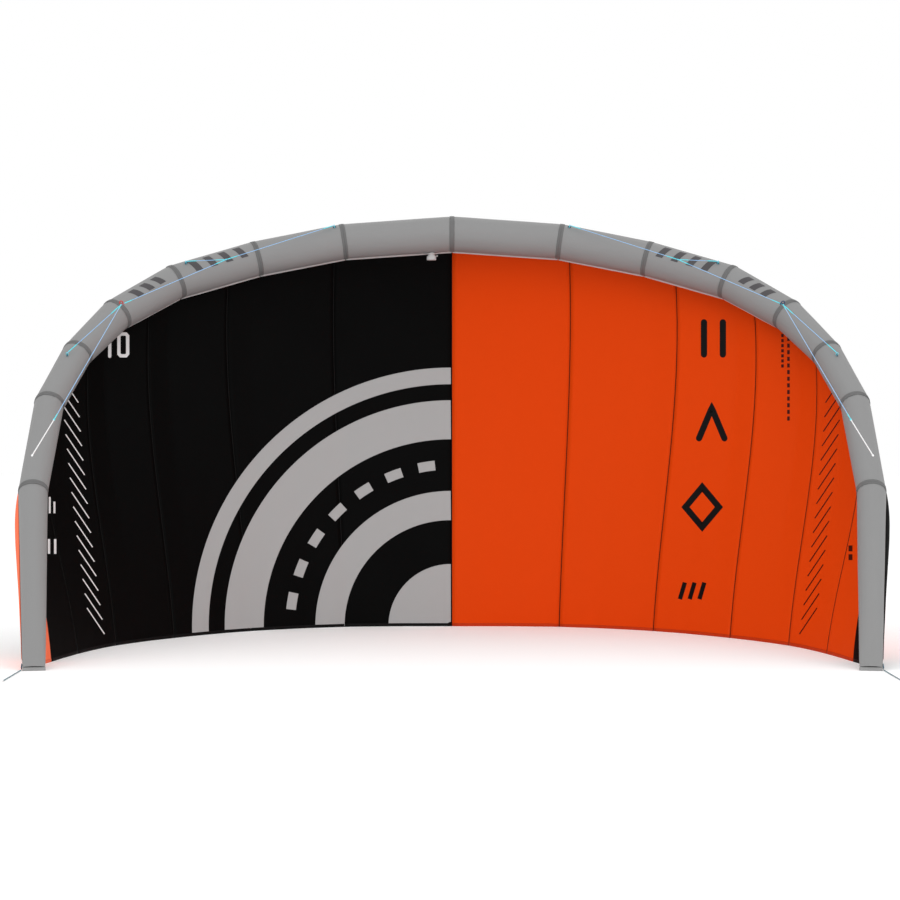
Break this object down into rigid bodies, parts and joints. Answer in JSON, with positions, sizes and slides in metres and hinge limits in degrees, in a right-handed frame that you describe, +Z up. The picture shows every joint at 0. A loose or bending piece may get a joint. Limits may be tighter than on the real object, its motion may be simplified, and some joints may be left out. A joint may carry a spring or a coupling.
{
  "type": "kitesurf kite",
  "caption": "Arched, strutless inflatable kite with a segmented leading edge tube, panelled cloth canopy, side bridles and line pigtails, standing upright.",
  "frame": {"origin": "middle of the base, without the bridle and pigtail cords: halfway across the span, halfway between the front of the tips and the back of the canopy, on the floor", "axes": "+X along the span to the kite's right side in the picture, +Y towards the back of the arch, +Z up from the trailing edge to the leading edge"},
  "size_m": [3.9016, 2.7154, 2.1043],
  "materials": {
    "sleeve_grey": "matte",
    "band_grey": "matte",
    "seam_light_grey": "matte",
    "bladder": "satin",
    "canopy_black": "satin",
    "canopy_orange": "satin",
    "seam_dark": "matte",
    "hem_dark": "matte",
    "webbing": "matte",
    "line_blue": "matte",
    "sleeve_cyan": "matte",
    "pigtail_white": "matte",
    "pigtail_teal": "matte",
    "valve_plastic": "satin",
    "pin_steel": "satin",
    "flap_rubber": "matte"
  },
  "bodies": {
    "kite": {"bridle_line_inner_left": "line_blue", "bridle_line_inner_right": "line_blue", "bridle_line_link_left": "line_blue", "bridle_line_link_right": "line_blue", "bridle_line_main_left": "line_blue", "bridle_line_main_right": "line_blue", "bridle_line_middle_left": "line_blue", "bridle_line_middle_right": "line_blue", "bridle_line_outer_left": "line_blue", "bridle_line_outer_right": "line_blue", "bridle_sleeves": "sleeve_cyan", "canopy_panel_left_1": "canopy_black", "canopy_panel_left_2": "canopy_black", "canopy_panel_left_3": "canopy_black", "canopy_panel_left_4": "canopy_black", "canopy_panel_left_5": "canopy_black", "canopy_panel_left_6": "canopy_black", "canopy_panel_left_7": "canopy_orange", "canopy_panel_right_1": "canopy_orange", "canopy_panel_right_2": "canopy_orange", "canopy_panel_right_3": "canopy_orange", "canopy_panel_right_4": "canopy_orange", "canopy_panel_right_5": "canopy_orange", "canopy_panel_right_6": "canopy_orange", "canopy_panel_right_7": "canopy_black", "le_bladder": "bladder", "le_closing_seam": "seam_light_grey", "le_joint_bands": "band_grey", "le_tube_left_1": "sleeve_grey", "le_tube_left_2": "sleeve_grey", "le_tube_left_3": "sleeve_grey", "le_tube_left_4": "sleeve_grey", "le_tube_left_5": "sleeve_grey", "le_tube_left_6": "sleeve_grey", "le_tube_left_7": "sleeve_grey", "le_tube_left_8": "sleeve_grey", "le_tube_right_1": "sleeve_grey", "le_tube_right_2": "sleeve_grey", "le_tube_right_3": "sleeve_grey", "le_tube_right_4": "sleeve_grey", "le_tube_right_5": "sleeve_grey", "le_tube_right_6": "sleeve_grey", "le_tube_right_7": "sleeve_grey", "le_tube_right_8": "sleeve_grey", "panel_seam_tapes": "seam_dark", "tip_flaps": "band_grey", "trailing_edge_hem": "hem_dark", "valve_hinge_pin": "pin_steel", "valve_neck": "valve_plastic", "valve_patch": "band_grey", "webbing_tabs": "webbing"},
    "valve_cap": {"valve_cap": "valve_plastic"},
    "valve_flap": {"valve_flap": "flap_rubber"},
    "front_pigtail_left": {"front_pigtail_left": "pigtail_white"},
    "front_pigtail_right": {"front_pigtail_right": "pigtail_white"},
    "rear_pigtail_left": {"rear_pigtail_left": "pigtail_teal"},
    "rear_pigtail_right": {"rear_pigtail_right": "pigtail_teal"}
  },
  "joints": [
    {"name": "valve_cap_swing", "type": "hinge", "parent": "kite", "child": "valve_cap", "pos_m": [-0.076, 0.91009, 1.8999], "axis": [0, -1, 0], "range_deg": [0, 130]},
    {"name": "valve_flap_swing", "type": "hinge", "parent": "kite", "child": "valve_flap", "pos_m": [-0.121, 0.91009, 1.9245], "axis": [0, -1, 0], "range_deg": [0, 70]},
    {"name": "front_pigtail_left_swing", "type": "hinge", "parent": "kite", "child": "front_pigtail_left", "pos_m": [-1.63, -1.16613, 1.02906], "axis": [-1, 0, 0], "range_deg": [-60, 60]},
    {"name": "front_pigtail_right_swing", "type": "hinge", "parent": "kite", "child": "front_pigtail_right", "pos_m": [1.63, -1.16613, 1.02906], "axis": [-1, 0, 0], "range_deg": [-60, 60]},
    {"name": "rear_pigtail_left_swing", "type": "hinge", "parent": "kite", "child": "rear_pigtail_left", "pos_m": [-1.769, -1.14613, 0.00266], "axis": [-1, 0, 0], "range_deg": [0, 50]},
    {"name": "rear_pigtail_right_swing", "type": "hinge", "parent": "kite", "child": "rear_pigtail_right", "pos_m": [1.769, -1.14613, 0.00266], "axis": [-1, 0, 0], "range_deg": [0, 50]}
  ]
}
